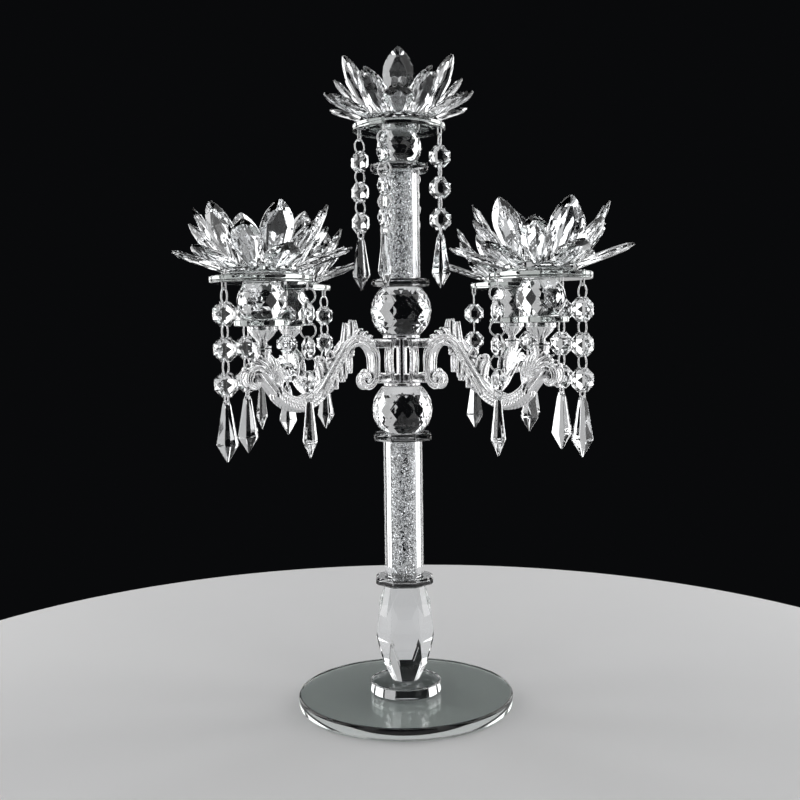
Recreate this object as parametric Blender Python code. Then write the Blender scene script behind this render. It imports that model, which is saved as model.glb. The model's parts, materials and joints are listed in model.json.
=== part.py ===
"""Five-light crystal candelabrum.

A glass column on a round plate carries a hub with four cast scroll arms.  The column top and each arm
end carry a glass drip plate, a lotus-shaped candle holder and a ring of hanging bead strings.

Frame: +Z up, the origin is the centre of the underside, the viewer stands at -Y.  An azimuth is
measured from -Y towards +X.  Every size below is in millimetres; meshes are written in metres.
"""

import math

import bmesh
import bpy
from mathutils import Matrix, Vector

MM = 0.001
GAP = 0.3                        # glue line or clearance between neighbouring pieces

# Column, from the table up: heights and diameters
BASE_HEIGHT, BASE_DIAMETER = 8.0, 145.0
FOOT_HEIGHT, FOOT_DIAMETER = 7.7, 48.0
BALUSTER_HEIGHT = 65.4
COLLAR_HEIGHT, COLLAR_ACROSS_FLATS = 5.0, 38.0
LOWER_TUBE_HEIGHT, UPPER_TUBE_HEIGHT = 91.4, 69.4
TUBE_DIAMETER, TUBE_BORE = 26.0, 18.4
CHIPS_DIAMETER = 17.6
LOWER_BALL_HEIGHT, UPPER_BALL_HEIGHT = 30.7, 31.2
BIG_BALL_DIAMETER = 40.6
HUB_PLATE_HEIGHT, HUB_PLATE_DIAMETER = 2.0, 24.6
HUB_TUBE_HEIGHT, HUB_TUBE_DIAMETER, HUB_TUBE_BORE = 29.1, 7.0, 4.4
SMALL_BALL_DIAMETER, SMALL_BALL_HEIGHT = 30.0, 20.8
PLATE_HEIGHT, PLATE_DIAMETER = 4.4, 61.0         # the drip plates, called bobeches

# Arms and what stands on their ends
ARM_REACH = 116.0                # column axis to candle axis
ARM_SEAT_LEVEL = 242.7           # top of the arm's end boss
VASE_HEIGHT = 12.7
SAUCER_HEIGHT, SAUCER_DIAMETER = 3.7, 33.0
ARM_AZIMUTHS = {"front_left": -45.0, "front_right": 45.0, "back_right": 135.0, "back_left": -135.0}

# Lotus candle holders
LOTUS_DISC_HEIGHT, LOTUS_DISC_DIAMETER = 5.0, 44.0
SEAT_RISE, SEAT_DIAMETER = 0.8, 37.0             # the raised round seat for a tealight
PETALS_PER_ROW = 6
LOTUS_TURNS = {"top": 0.0, "front_left": 24.0, "front_right": 18.0, "back_right": 24.0, "back_left": 18.0}
# row: first azimuth, petal width, root (radius, height), tip (radius, height)
PETAL_ROWS = (
    (0.0, 19.6, (20.6, 4.4), (40.0, 40.0)),
    (30.0, 18.0, (20.3, 3.6), (42.0, 29.0)),
    (0.0, 19.6, (20.0, 2.8), (54.0, 15.0)),
)

# Bead strings: an eye under the plate, three octagon beads on rings, an icicle drop
EYE_DROP, EYE_RADIUS, EYE_WIRE = 3.2, 1.9, 1.1
RING_RADIUS, RING_WIRE, SMALL_RING_RADIUS = 4.6, 1.0, 2.6
BEAD_ACROSS_FLATS, BEAD_THICKNESS, BEAD_TABLE = 14.0, 7.4, 6.0
BEAD_HOLE_RADIUS = 5.5           # bead centre to hole centre
BEADS_PER_STRING = 3
DROP_LENGTH, DROP_WIDTH, DROP_THICKNESS, DROP_TOP_WIDTH = 36.5, 12.0, 9.0, 4.6
DROP_TIP_LENGTH, DROP_HOLE_DEPTH = 11.0, 1.5
STRING_RADIUS = 28.0             # plate axis to the eyes

# string azimuths on each plate, with the azimuth that its bead faces look to
STRINGS = {
    "top": ((-20.0, 62.0), (70.0, 8.0), (160.0, 70.0), (-110.0, -40.0)),
    "front_left": ((-42.0, -12.0), (78.0, 84.0), (208.0, 170.0)),
    "front_right": ((-70.0, -84.0), (50.0, 20.0), (146.0, 150.0)),
    "back_right": ((-100.0, -4.0), (20.0, 10.0), (140.0, 120.0)),
    "back_left": ((0.0, 12.0), (120.0, 150.0), (-120.0, -100.0)),
}

GLASS = ((0.93, 0.96, 0.97), 0.02, 0.0)
PLATE_GLASS = ((0.82, 0.92, 0.88), 0.03, 0.0)
CHIP_GLASS = ((0.92, 0.93, 0.94), 0.25, 0.0)
SILVER = ((0.80, 0.80, 0.82), 0.16, 1.0)


# ---------------------------------------------------------------- mesh helpers

def clear_scene():
    for item in list(bpy.data.objects):
        bpy.data.objects.remove(item, do_unlink=True)


def material(name, colour, roughness, metallic):
    made = bpy.data.materials.get(name)
    if made is None:
        made = bpy.data.materials.new(name)
        made.use_nodes = True
        shader = made.node_tree.nodes["Principled BSDF"]
        shader.inputs["Base Color"].default_value = (*colour, 1.0)
        shader.inputs["Roughness"].default_value = roughness
        shader.inputs["Metallic"].default_value = metallic
        made.diffuse_color = (*colour, 1.0)
    return made


def ring_points(radius, height, count, first=0.0):
    """Points of a level polygon, the first one at the azimuth `first`."""
    points = []
    for step in range(count):
        angle = math.radians(first + 360.0 * step / count)
        points.append(Vector((radius * math.sin(angle), -radius * math.cos(angle), height)))
    return points


def mesh_from(points, faces):
    mesh = bpy.data.meshes.new("solid")
    mesh.from_pydata([tuple(point) for point in points], [], faces)
    shaped = bmesh.new()
    shaped.from_mesh(mesh)
    bmesh.ops.recalc_face_normals(shaped, faces=shaped.faces)
    shaped.to_mesh(mesh)
    shaped.free()
    return mesh


def hull(points):
    """The convex solid around some points."""
    shaped = bmesh.new()
    for point in points:
        shaped.verts.new(point)
    made = bmesh.ops.convex_hull(shaped, input=shaped.verts)
    inside = [item for item in made["geom_interior"] if isinstance(item, bmesh.types.BMVert)]
    bmesh.ops.delete(shaped, geom=inside, context="VERTS")
    bmesh.ops.dissolve_limit(shaped, angle_limit=math.radians(0.5), verts=shaped.verts, edges=shaped.edges)
    bmesh.ops.recalc_face_normals(shaped, faces=shaped.faces)
    mesh = bpy.data.meshes.new("solid")
    shaped.to_mesh(mesh)
    shaped.free()
    return mesh


def turned(profile, sides, bored=False):
    """A solid of revolution.  The profile holds (radius, height) points from bottom to top.

    A bored profile is a closed loop, and the solid is a tube; otherwise both ends are capped.
    """
    points = []
    for radius, height in profile:
        points.extend(ring_points(radius, height, sides))
    faces = []
    bands = len(profile) if bored else len(profile) - 1
    for band in range(bands):
        low, high = band * sides, (band + 1) % len(profile) * sides
        for step in range(sides):
            after = (step + 1) % sides
            faces.append((low + step, low + after, high + after, high + step))
    if not bored:
        faces.append(tuple(range(sides)))
        faces.append(tuple(range(len(points) - sides, len(points))))
    return mesh_from(points, faces)


def bevelled_disc(diameter, height, sides, chamfer):
    radius = diameter / 2
    return turned([(radius - chamfer, 0.0), (radius, chamfer),
                   (radius, height - chamfer), (radius - chamfer, height)], sides)


def torus(radius, wire, sides, wire_sides, centre):
    """A ring standing in the X-Z plane, with a straight side at its top and bottom."""
    points, faces = [], []
    for step in range(sides):
        angle = math.radians(360.0 * (step + 0.5) / sides)
        outward = Vector((math.sin(angle), 0.0, math.cos(angle)))
        for turn in range(wire_sides):
            around = math.radians(360.0 * turn / wire_sides)
            reach = radius / math.cos(math.pi / sides) + wire / 2 * math.cos(around)
            points.append(outward * reach + Vector((0.0, wire / 2 * math.sin(around), 0.0)) + centre)
    for step in range(sides):
        for turn in range(wire_sides):
            a = step * wire_sides + turn
            b = step * wire_sides + (turn + 1) % wire_sides
            c = (step + 1) % sides * wire_sides + (turn + 1) % wire_sides
            d = (step + 1) % sides * wire_sides + turn
            faces.append((a, b, c, d))
    return mesh_from(points, faces)


def box(low, high):
    corners = [(x, y, z) for x in (low[0], high[0]) for y in (low[1], high[1]) for z in (low[2], high[2])]
    return hull(corners)


def moved(mesh, matrix):
    mesh.transform(matrix)
    return mesh


def azimuth_turn(azimuth):
    """The rotation that takes a piece built facing -Y round to face an azimuth."""
    return Matrix.Rotation(math.radians(azimuth), 4, "Z")


def fused(meshes):
    """One closed body out of overlapping solids."""
    pieces = []
    for number, mesh in enumerate(meshes):
        piece = bpy.data.objects.new("fuse_%d" % number, mesh)
        bpy.context.collection.objects.link(piece)
        pieces.append(piece)
    first = pieces[0]
    for piece in pieces[1:]:
        union = first.modifiers.new(piece.name, "BOOLEAN")
        union.operation = "UNION"
        union.solver = "EXACT"
        union.object = piece
    shaped = first.evaluated_get(bpy.context.evaluated_depsgraph_get())
    mesh = bpy.data.meshes.new_from_object(shaped)
    for piece in pieces:
        bpy.data.objects.remove(piece, do_unlink=True)
    cleaned = bmesh.new()
    cleaned.from_mesh(mesh)
    bmesh.ops.remove_doubles(cleaned, verts=cleaned.verts, dist=0.01)
    bmesh.ops.dissolve_limit(cleaned, angle_limit=math.radians(0.3), verts=cleaned.verts,
                             edges=cleaned.edges)
    bmesh.ops.triangulate(cleaned, faces=cleaned.faces)
    cleaned.to_mesh(mesh)
    cleaned.free()
    return mesh


def in_metres(mesh, smooth=True):
    mesh.transform(Matrix.Scale(MM, 4))
    if smooth:
        mesh.shade_smooth()
        mesh.set_sharp_from_angle(angle=math.radians(30))
    return mesh


def place(name, mesh, look, location, turn=0.0, parent=None):
    """Adds a node: location in millimetres and turn about +Z in degrees, in its parent's frame."""
    node = bpy.data.objects.new(name, mesh)
    bpy.context.collection.objects.link(node)
    if not mesh.materials:
        mesh.materials.append(look)
    node.location = Vector(location) * MM
    node.rotation_euler = (0.0, 0.0, math.radians(turn))
    node.parent = parent
    return node


# ---------------------------------------------------------------- crystal pieces

def faceted_ball(diameter, height, count, rows):
    """A ball with flat ends, cut with rows of triangular facets that are offset by half a step."""
    radius = diameter / 2
    points = []
    for row in range(-rows, rows + 1):
        level = height / 2 * row / rows
        reach = math.sqrt(radius * radius - level * level)
        points.extend(ring_points(reach, level + height / 2, count, 180.0 / count * (row % 2)))
    return hull(points)


def baluster():
    """A six-sided pear with long kite facets between its corners."""
    levels = (                    # height, radius, corners, azimuth of the first corner
        (0.0, 9.4, 12, 15.0),
        (3.5, 9.4, 12, 15.0),
        (7.5, 12.0, 6, 30.0),
        (12.5, 15.6, 12, 15.0),
        (28.8, 19.7, 6, 30.0),
        (44.7, 17.9, 12, 15.0),
        (53.8, 17.0, 6, 30.0),
        (BALUSTER_HEIGHT, 13.5, 12, 15.0),
    )
    points = []
    for height, radius, corners, first in levels:
        points.extend(ring_points(radius, height, corners, first))
    return hull(points)


def collar():
    corner = COLLAR_ACROSS_FLATS / math.cos(math.pi / 8)
    disc = bevelled_disc(corner, COLLAR_HEIGHT, 8, 1.2)
    return moved(disc, azimuth_turn(22.5))


def petal(length, width):
    """A pointed faceted leaf along +X from its root, with ridges on both faces."""
    widest, shoulder = 0.58 * length, 0.82 * length
    points = [(length, 0.0, 0.0), (0.42 * length, 0.0, 3.2), (0.42 * length, 0.0, -3.2)]
    for side in (-1, 1):
        points.append((0.0, side * 2.8, 1.5))
        points.append((0.0, side * 2.8, -1.5))
        points.append((widest, side * width / 2, 0.0))
        points.append((shoulder, side * width * 0.31, 0.0))
    return hull(points)


def lotus():
    """A round glass foot with a tealight seat and three rows of petals leaning outwards."""
    rim, seat = LOTUS_DISC_DIAMETER / 2, SEAT_DIAMETER / 2
    parts = [turned([(rim - 0.6, 0.0), (rim, 0.6), (rim, LOTUS_DISC_HEIGHT - 0.6),
                     (rim - 0.6, LOTUS_DISC_HEIGHT), (seat, LOTUS_DISC_HEIGHT),
                     (seat, LOTUS_DISC_HEIGHT + SEAT_RISE)], 24)]
    for first, width, root, tip in PETAL_ROWS:
        tilt = math.atan2(tip[1] - root[1], tip[0] - root[0])
        length = math.hypot(tip[0] - root[0], tip[1] - root[1])
        for step in range(PETALS_PER_ROW):
            azimuth = math.radians(first + 360.0 / PETALS_PER_ROW * step - 90.0)
            stand = (Matrix.Rotation(azimuth, 4, "Z")
                     @ Matrix.Translation((root[0], 0.0, root[1]))
                     @ Matrix.Rotation(-tilt, 4, "Y"))
            parts.append(moved(petal(length, width), stand))
    return fused(parts)


# ---------------------------------------------------------------- drip plates and strings

def drip_plate(plate):
    """The glass drip plate with the wire eyes that its strings hang from."""
    parts = [bevelled_disc(PLATE_DIAMETER, PLATE_HEIGHT, 28, 0.8)]
    for azimuth, facing in STRINGS[plate]:
        eye = torus(EYE_RADIUS, EYE_WIRE, 6, 3, Vector((0.0, 0.0, -EYE_DROP)))
        stem = box((-0.55, -0.55, 0.6 - EYE_DROP + EYE_RADIUS - EYE_WIRE), (0.55, 0.55, 0.4))
        turn = (azimuth_turn(azimuth) @ Matrix.Translation((0.0, -STRING_RADIUS, 0.0))
                @ azimuth_turn(facing - azimuth))
        parts.append(moved(fused([eye, stem]), turn))
    return fused(parts)


def octagon_bead(centre):
    corner = BEAD_ACROSS_FLATS / 2 / math.cos(math.pi / 8)
    points = []
    for step in range(8):
        angle = math.radians(45.0 * step + 22.5)
        points.append((corner * math.sin(angle), 0.0, centre + corner * math.cos(angle)))
    for step in range(4):
        angle = math.radians(90.0 * step + 45.0)
        for side in (-1, 1):
            points.append((BEAD_TABLE / 2 * math.sin(angle), side * BEAD_THICKNESS / 2,
                           centre + BEAD_TABLE / 2 * math.cos(angle)))
    return hull(points)


def icicle(top):
    points = [(0.0, 0.0, top - DROP_LENGTH)]
    widest = top - DROP_LENGTH + DROP_TIP_LENGTH
    for step in range(6):
        angle = math.radians(60.0 * step + 30.0)
        points.append((DROP_WIDTH / 2 * math.cos(angle) / math.cos(math.pi / 6),
                       DROP_THICKNESS / 2 * math.sin(angle), widest))
    for x in (-0.5, 0.5):
        for y in (-0.5, 0.5):
            points.append((x * DROP_TOP_WIDTH, y * DROP_TOP_WIDTH * 0.8, top))
    return hull(points)


def bead_string():
    """A string hanging from the origin; its beads face -Y and it swings about the Y axis."""
    parts = []
    level = 0.0
    ring_turn = Matrix.Rotation(math.radians(90.0), 4, "Z")
    for bead in range(BEADS_PER_STRING):
        ring = torus(RING_RADIUS, RING_WIRE, 6, 3, Vector((0.0, 0.0, level - RING_RADIUS)))
        parts.append(moved(ring, ring_turn))
        centre = level - 2 * RING_RADIUS - BEAD_HOLE_RADIUS
        parts.append(octagon_bead(centre))
        level = centre - BEAD_HOLE_RADIUS
    link = torus(SMALL_RING_RADIUS, RING_WIRE, 6, 3, Vector((0.0, 0.0, level - SMALL_RING_RADIUS)))
    parts.append(moved(link, ring_turn))
    parts.append(icicle(level - 2 * SMALL_RING_RADIUS + DROP_HOLE_DEPTH))
    return fused(parts)


# ---------------------------------------------------------------- scroll arms

def arc(centre, radius, start, end, steps, end_radius=None):
    """Points of an arc or spiral in the arm's plane, from one angle to another in degrees."""
    end_radius = radius if end_radius is None else end_radius
    points = []
    for step in range(steps + 1):
        share = step / steps
        angle = math.radians(start + (end - start) * share)
        reach = radius + (end_radius - radius) * share
        points.append(Vector((centre[0] + reach * math.cos(angle), 0.0,
                              centre[1] + reach * math.sin(angle))))
    return points


def along(table, share):
    """Reads a table of (share, width, thickness) rows at a share of the way."""
    for (start, w0, t0), (end, w1, t1) in zip(table, table[1:]):
        if share <= end:
            mix = (share - start) / (end - start)
            return w0 + (w1 - w0) * mix, t0 + (t1 - t0) * mix
    return table[-1][1:]


def strap(path, table):
    """A six-sided bar swept along a path in the arm's plane, with its size read from a table."""
    lengths = [0.0]
    for before, after in zip(path, path[1:]):
        lengths.append(lengths[-1] + (after - before).length)
    points, faces = [], []
    across = Vector((0.0, 1.0, 0.0))
    for index, centre in enumerate(path):
        ahead = path[min(index + 1, len(path) - 1)] - path[max(index - 1, 0)]
        up = across.cross(ahead.normalized())
        width, thickness = along(table, lengths[index] / lengths[-1])
        for side, rise in ((-1, 0), (-0.55, 1), (0.55, 1), (1, 0), (0.55, -1), (-0.55, -1)):
            points.append(centre + across * (side * width / 2) + up * (rise * thickness / 2))
    for index in range(len(path) - 1):
        for side in range(6):
            after = (side + 1) % 6
            faces.append((index * 6 + side, index * 6 + after,
                          (index + 1) * 6 + after, (index + 1) * 6 + side))
    faces.append(tuple(range(6)))
    faces.append(tuple(range(len(points) - 6, len(points))))
    return mesh_from(points, faces)


def leaf(outline, thickness, edge):
    """A convex cast leaf: thick along the first two outline points, thin along the rest."""
    points = []
    for number, (reach, height) in enumerate(outline):
        half = (thickness if number < 2 else edge) / 2
        points.append((reach, -half, height))
        points.append((reach, half, height))
    return hull(points)


def scroll_arm():
    """The cast arm, built along +X from the column axis at its real height."""
    back_scroll, back_radius = (41.2, 231.9), 14.8
    lower_bend, volute = (33.2, 222.9), (33.5, 220.9)
    valley, valley_radius = (89.5, 230.9), 22.4
    end_scroll = (123.3, 224.3)
    path = arc(volute, 4.9, 300.0, 275.0, 1)
    path += arc(lower_bend, 6.9, 262.0, 200.0, 3)
    path += arc(back_scroll, back_radius, 180.0, 30.0, 7)
    path += arc(valley, valley_radius, 222.0, 324.0, 6)
    path += arc(end_scroll, 6.8, 122.0, -170.0, 7, end_radius=2.6)
    sizes = ((0.0, 6.6, 3.6), (0.12, 7.6, 4.8), (0.32, 8.0, 6.4), (0.55, 9.6, 8.8), (0.75, 9.0, 7.6),
             (0.84, 8.4, 5.4), (1.0, 7.0, 2.8))
    bow = [Vector((9.4, 0.0, 219.1)), Vector((11.6, 0.0, 225.6)), Vector((12.4, 0.0, 232.1)),
           Vector((11.6, 0.0, 238.6)), Vector((9.4, 0.0, 245.1))]
    parts = [strap(path, sizes), strap(bow, ((0.0, 7.0, 2.0), (1.0, 7.0, 2.0)))]

    roll = turned([(5.0, -3.2), (6.0, -2.2), (6.0, 2.2), (5.0, 3.2)], 12)
    roll.transform(Matrix.Rotation(math.radians(90.0), 4, "X"))
    parts.append(moved(roll, Matrix.Translation((volute[0], 0.0, volute[1]))))
    parts.append(leaf([(31.0, 243.0), (47.0, 243.6), (25.6, 243.0), (30.0, 248.0), (36.0, 251.0),
                       (44.0, 253.4)], 6.4, 3.0))
    parts.append(leaf([(42.0, 245.4), (54.0, 241.0), (44.6, 253.4), (46.2, 259.8), (48.2, 258.8),
                       (51.2, 258.0)], 7.0, 3.0))
    parts.append(leaf([(52.0, 240.0), (60.0, 232.6), (50.8, 222.0), (52.6, 220.0), (57.0, 222.6)], 6.0, 3.6))
    parts.append(leaf([(58.6, 233.0), (67.0, 224.0), (57.8, 215.4), (60.0, 213.8), (64.4, 216.6)], 6.0, 3.6))
    parts.append(leaf([(66.0, 226.0), (72.0, 218.5), (70.4, 236.2), (74.0, 237.2), (76.6, 233.0)], 6.0, 3.6))
    curl = [Vector((38.0, 0.0, 243.6)), Vector((46.0, 0.0, 241.8)), Vector((51.0, 0.0, 239.8)),
            Vector((51.6, 0.0, 236.6)), Vector((49.6, 0.0, 234.0))]
    parts.append(strap(curl, ((0.0, 5.0, 3.0), (1.0, 3.6, 2.6))))

    shell = [(107.5, 222.0), (121.0, 229.5)]
    for angle in (175.0, 145.0, 118.0, 90.0, 62.0, 35.0, 10.0):
        shell.append((116.5 + 10.6 * math.cos(math.radians(angle)),
                      228.2 + 11.2 * math.sin(math.radians(angle))))
    parts.append(leaf(shell, 8.8, 5.0))
    boss = turned([(4.0, ARM_SEAT_LEVEL - 6.0), (5.2, ARM_SEAT_LEVEL - 1.4), (5.2, ARM_SEAT_LEVEL)], 12)
    parts.append(moved(boss, Matrix.Translation((ARM_REACH, 0.0, 0.0))))

    tube_clear = HUB_TUBE_DIAMETER / 2 + GAP
    for reach, low, high in ((28.0, 217.8, 223.6), (33.0, 240.6, 246.4)):
        parts.append(box((tube_clear, -2.4, low), (reach, 2.4, high)))
    return fused(parts)


def vase():
    return turned([(4.6, 0.0), (5.3, 0.7), (4.6, 1.4), (2.7, 2.4), (3.6, 4.6), (6.4, 7.2), (8.9, 10.4),
                   (9.0, VASE_HEIGHT)], 12)


# ---------------------------------------------------------------- assembly

def tube(height):
    outer, inner = TUBE_DIAMETER / 2, TUBE_BORE / 2
    return turned([(inner, 0.0), (outer, 0.0), (outer, height), (inner, height)], 24, bored=True)


def hub_tube():
    outer, inner = HUB_TUBE_DIAMETER / 2, HUB_TUBE_BORE / 2
    return turned([(inner, 0.0), (outer, 0.0), (outer, HUB_TUBE_HEIGHT), (inner, HUB_TUBE_HEIGHT)],
                  12, bored=True)


def chips(height):
    return turned([(CHIPS_DIAMETER / 2, 0.0), (CHIPS_DIAMETER / 2, height)], 12)


def build_column(looks):
    """Stacks the column and returns the level of the top of the uppermost piece."""
    big_collar, plate = in_metres(collar()), looks["float_glass"]
    crystal, silver = looks["crystal"], looks["silver_plate"]
    stack = (
        ("base_plate", bevelled_disc(BASE_DIAMETER, BASE_HEIGHT, 48, 0.7), BASE_HEIGHT, plate),
        ("foot_disc", bevelled_disc(FOOT_DIAMETER, FOOT_HEIGHT, 32, 1.2), FOOT_HEIGHT, crystal),
        ("baluster", baluster(), BALUSTER_HEIGHT, crystal),
        ("foot_collar", None, COLLAR_HEIGHT, crystal),
        ("lower_tube", tube(LOWER_TUBE_HEIGHT), LOWER_TUBE_HEIGHT, crystal),
        ("lower_collar", None, COLLAR_HEIGHT, crystal),
        ("lower_ball", faceted_ball(BIG_BALL_DIAMETER, LOWER_BALL_HEIGHT, 16, 3), LOWER_BALL_HEIGHT,
         crystal),
        ("hub_bottom_plate", bevelled_disc(HUB_PLATE_DIAMETER, HUB_PLATE_HEIGHT, 24, 0.4),
         HUB_PLATE_HEIGHT, silver),
        ("hub_tube", hub_tube(), HUB_TUBE_HEIGHT, silver),
        ("hub_top_plate", bevelled_disc(HUB_PLATE_DIAMETER, HUB_PLATE_HEIGHT, 24, 0.4), HUB_PLATE_HEIGHT,
         silver),
        ("upper_ball", faceted_ball(BIG_BALL_DIAMETER, UPPER_BALL_HEIGHT, 16, 3), UPPER_BALL_HEIGHT,
         crystal),
        ("mid_collar", None, COLLAR_HEIGHT, crystal),
        ("upper_tube", tube(UPPER_TUBE_HEIGHT), UPPER_TUBE_HEIGHT, crystal),
        ("top_collar", None, COLLAR_HEIGHT, crystal),
        ("ball_top", faceted_ball(SMALL_BALL_DIAMETER, SMALL_BALL_HEIGHT, 12, 2), SMALL_BALL_HEIGHT,
         crystal),
    )
    level = 0.0
    for name, mesh, height, look in stack:
        mesh = big_collar if mesh is None else in_metres(mesh)
        place(name, mesh, look, (0.0, 0.0, level))
        if name in ("lower_tube", "upper_tube"):
            fill = in_metres(chips(height))
            place(name.replace("tube", "chips"), fill, looks["crystal_chips"], (0.0, 0.0, level))
        level += height + GAP
    return level


def build_holder(plate, level, lotus_mesh, string_mesh, looks, parent=None):
    """A drip plate, its lotus and its strings; the level is the underside of the plate."""
    outward = (0.0, 0.0) if parent is None else (ARM_REACH, 0.0)
    face_turn = 0.0 if parent is None else 90.0 - ARM_AZIMUTHS[plate]
    place("bobeche_" + plate, in_metres(drip_plate(plate)), looks["float_glass"],
          (*outward, level), face_turn, parent)
    place("lotus_" + plate, lotus_mesh, looks["crystal"],
          (*outward, level + PLATE_HEIGHT + GAP), face_turn + LOTUS_TURNS[plate], parent)
    for number, (azimuth, facing) in enumerate(STRINGS[plate], start=1):
        eye = azimuth_turn(azimuth + face_turn) @ Vector((0.0, -STRING_RADIUS, 0.0))
        place("string_%s_%d" % (plate, number), string_mesh, looks["crystal"],
              (outward[0] + eye.x, outward[1] + eye.y, level - EYE_DROP), face_turn + facing, parent)


def build_arm(side, meshes, looks):
    """One arm with its candle holder; the parent empty's X axis points out along the arm."""
    frame = bpy.data.objects.new("frame_" + side, None)
    bpy.context.collection.objects.link(frame)
    frame.rotation_euler = (0.0, 0.0, math.radians(ARM_AZIMUTHS[side] - 90.0))
    place("arm_" + side, meshes["arm"], looks["silver_plate"], (0.0, 0.0, 0.0), 0.0, frame)
    level = ARM_SEAT_LEVEL + GAP
    for piece, height, look in (("vase", VASE_HEIGHT, "silver_plate"),
                                ("saucer", SAUCER_HEIGHT, "float_glass"),
                                ("ball", SMALL_BALL_HEIGHT, "crystal")):
        place(piece + "_" + side, meshes[piece], looks[look], (ARM_REACH, 0.0, level), 0.0, frame)
        level += height + GAP
    build_holder(side, level, meshes["lotus"], meshes["string"], looks, frame)


def build():
    clear_scene()
    looks = {
        "crystal": material("crystal", *GLASS),
        "float_glass": material("float_glass", *PLATE_GLASS),
        "crystal_chips": material("crystal_chips", *CHIP_GLASS),
        "silver_plate": material("silver_plate", *SILVER),
    }
    meshes = {
        "arm": in_metres(scroll_arm()),
        "vase": in_metres(vase()),
        "saucer": in_metres(bevelled_disc(SAUCER_DIAMETER, SAUCER_HEIGHT, 20, 0.6)),
        "ball": in_metres(faceted_ball(SMALL_BALL_DIAMETER, SMALL_BALL_HEIGHT, 12, 2)),
        "lotus": in_metres(lotus()),
        "string": in_metres(bead_string()),
    }
    top = build_column(looks)
    build_holder("top", top, meshes["lotus"], meshes["string"], looks)
    for side in ARM_AZIMUTHS:
        build_arm(side, meshes, looks)


build()
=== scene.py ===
"""Looks of the five-light crystal candelabrum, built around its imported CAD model.

Shapes are made in millimetres about their own middle and then stood where the CAD node is, in metres.
An azimuth is measured from -Y, where the viewer stands, towards +X. Angles given as numbers are in
degrees.
"""

import json
import math
import random

import bmesh
import bpy
from mathutils import Matrix, Vector


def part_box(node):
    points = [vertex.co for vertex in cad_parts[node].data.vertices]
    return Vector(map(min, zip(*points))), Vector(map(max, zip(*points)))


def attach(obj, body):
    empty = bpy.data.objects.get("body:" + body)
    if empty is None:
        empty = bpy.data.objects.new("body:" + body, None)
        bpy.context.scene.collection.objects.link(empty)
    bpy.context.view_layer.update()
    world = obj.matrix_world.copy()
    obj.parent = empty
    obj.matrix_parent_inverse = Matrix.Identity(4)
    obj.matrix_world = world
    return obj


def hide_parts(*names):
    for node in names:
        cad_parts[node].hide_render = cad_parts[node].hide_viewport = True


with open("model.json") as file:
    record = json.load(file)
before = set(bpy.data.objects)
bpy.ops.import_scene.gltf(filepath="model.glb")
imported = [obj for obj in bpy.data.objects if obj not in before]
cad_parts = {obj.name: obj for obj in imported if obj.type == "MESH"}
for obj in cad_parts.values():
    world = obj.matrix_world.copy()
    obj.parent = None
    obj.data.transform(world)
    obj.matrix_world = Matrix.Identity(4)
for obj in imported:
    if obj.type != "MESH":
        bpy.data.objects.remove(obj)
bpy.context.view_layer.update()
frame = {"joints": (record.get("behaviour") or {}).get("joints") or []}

MM = 0.001
SIDES = ("front_left", "front_right", "back_right", "back_left")
PLATES = ("top",) + SIDES
ARM_AZIMUTHS = {"front_left": -45.0, "front_right": 45.0, "back_right": 135.0, "back_left": -135.0}
LOTUS_TURNS = {"top": 0.0, "front_left": 24.0, "front_right": 18.0,
               "back_right": 24.0, "back_left": 18.0}
ARM_REACH = 116.0

# Column: plates and discs as diameter, thickness, radius of the rounded edge
BASE_PLATE = (145.0, 8.0, 1.6)
FOOT_DISC = (48.0, 7.7, 1.2)
HUB_PLATE = (24.6, 2.0, 0.5)
COLLAR_WIDTH, COLLAR_THICKNESS = 38.0, 5.0
COLLAR_CUT_IN, COLLAR_CUT_UP = 1.6, 1.3
TUBE_RADIUS, TUBE_BORE_RADIUS, TUBE_CHAMFER = 13.0, 9.2, 0.4
HUB_TUBE_RADIUS, HUB_TUBE_BORE_RADIUS, HUB_TUBE_HEIGHT = 3.5, 2.2, 29.1
FILL_RADIUS, SHARDS_PER_MM, FIRST_SEED = 8.8, 30, 7
SHARD_SIZES = (0.7, 1.2)

# Faceted balls: diameter, points round it, rows of facets above its middle
BIG_BALL = (40.6, 16, 3)
SMALL_BALL = (30.0, 12, 2)
ARM_BALL_HEIGHT = 20.8

# Drip plates and saucers: diameter, thickness, radius of the rounded edge
DRIP_PLATE = (61.0, 4.4, 1.0)
SAUCER = (33.0, 3.7, 0.8)

# Hanging strings, measured down from the hinge line
HINGE_DEPTH = 3.2
RING_RADIUS, SMALL_RING_RADIUS, RING_WIRE = 4.6, 2.6, 1.0
BEAD_DIAMETER, BEAD_HOLE_RADIUS, BEAD_HOLE, BEADS_PER_STRING = 14.0, 5.5, 1.7, 3
DROP_LENGTH, DROP_HOLE_DEPTH, DROP_HOLE = 36.5, 1.5, 1.5
PIN_WIRE, PIN_HALF_WIDTH, PIN_HEAD = 0.9, 1.0, 0.5
PIN_CLEARANCE = 0.12

# Lotus: row = first azimuth, petal width, root (radius, height), tip (radius, height)
PETAL_ROWS = (
    (0.0, 19.6, (20.6, 4.4), (40.0, 40.0)),
    (30.0, 18.0, (20.3, 3.6), (42.0, 29.0)),
    (0.0, 19.6, (20.0, 2.8), (54.0, 15.0)),
)
PETALS_PER_ROW = 6

# The floor's radius and thickness in millimetres; the rest of the stage is in metres
FLOOR_RADIUS, FLOOR_THICKNESS = 420.0, 12.0
FLOOR_GAP = 0.0002
BACKDROP = (0.0028, 0.003, 0.0034, 1.0)

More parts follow.
